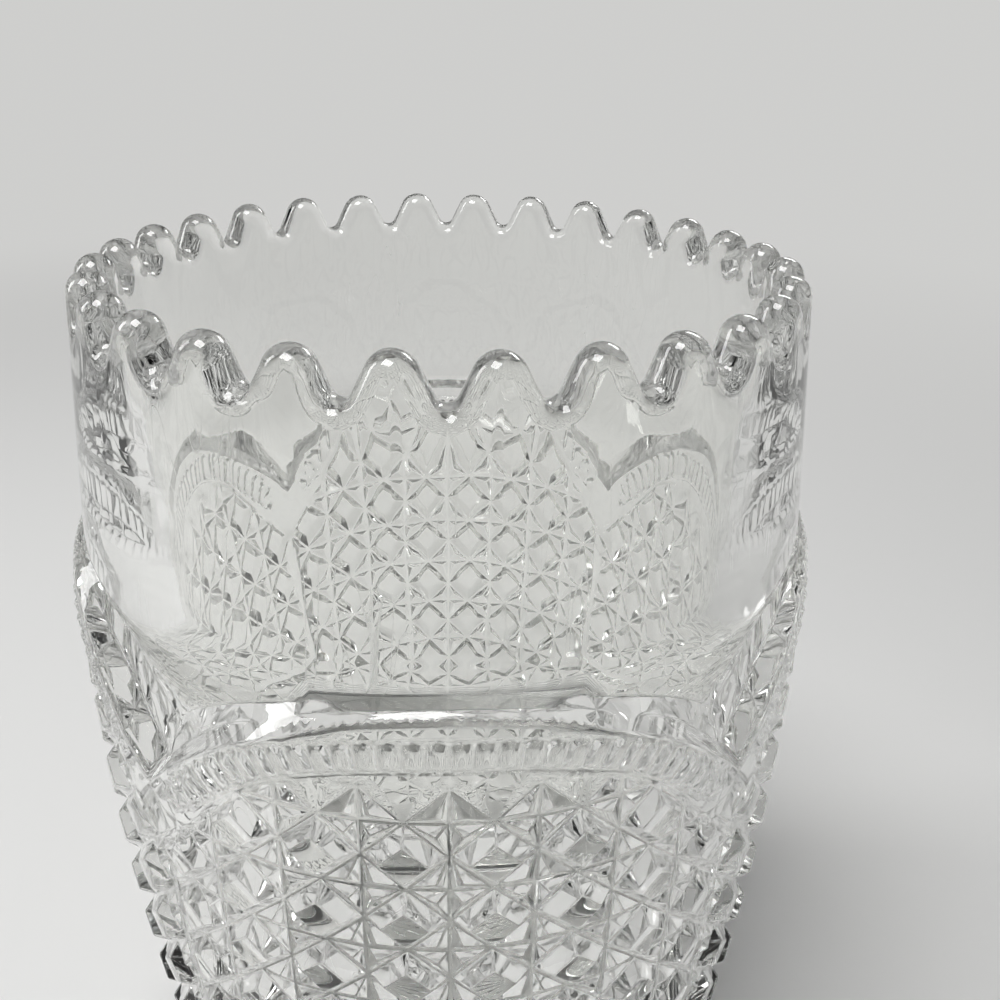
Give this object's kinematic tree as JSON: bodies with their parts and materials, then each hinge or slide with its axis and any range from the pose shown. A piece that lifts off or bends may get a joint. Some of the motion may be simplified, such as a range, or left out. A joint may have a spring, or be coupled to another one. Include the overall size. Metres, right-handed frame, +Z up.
{
  "type": "pressed glass vase",
  "caption": "Thick pressed glass vase with arched hobnail panels, a plain swelling collar, a rim of rounded teeth and a ring foot.",
  "frame": {"origin": "centre of the ring that the vase stands on, at the height of the surface it stands on", "axes": "+Z up along the vase's axis, -Y towards the middle of the front panel, +X to the right of it"},
  "size_m": [0.1402, 0.1402, 0.2],
  "materials": {
    "clear_glass": "clear pressed glass, fire polished, with fine scratches and a faint warm grey tint"
  },
  "bodies": {
    "root": {"foot": "clear_glass", "hobnail_wall": "clear_glass", "arched_wall": "clear_glass", "clear_collar": "clear_glass", "toothed_rim": "clear_glass"}
  },
  "joints": []
}
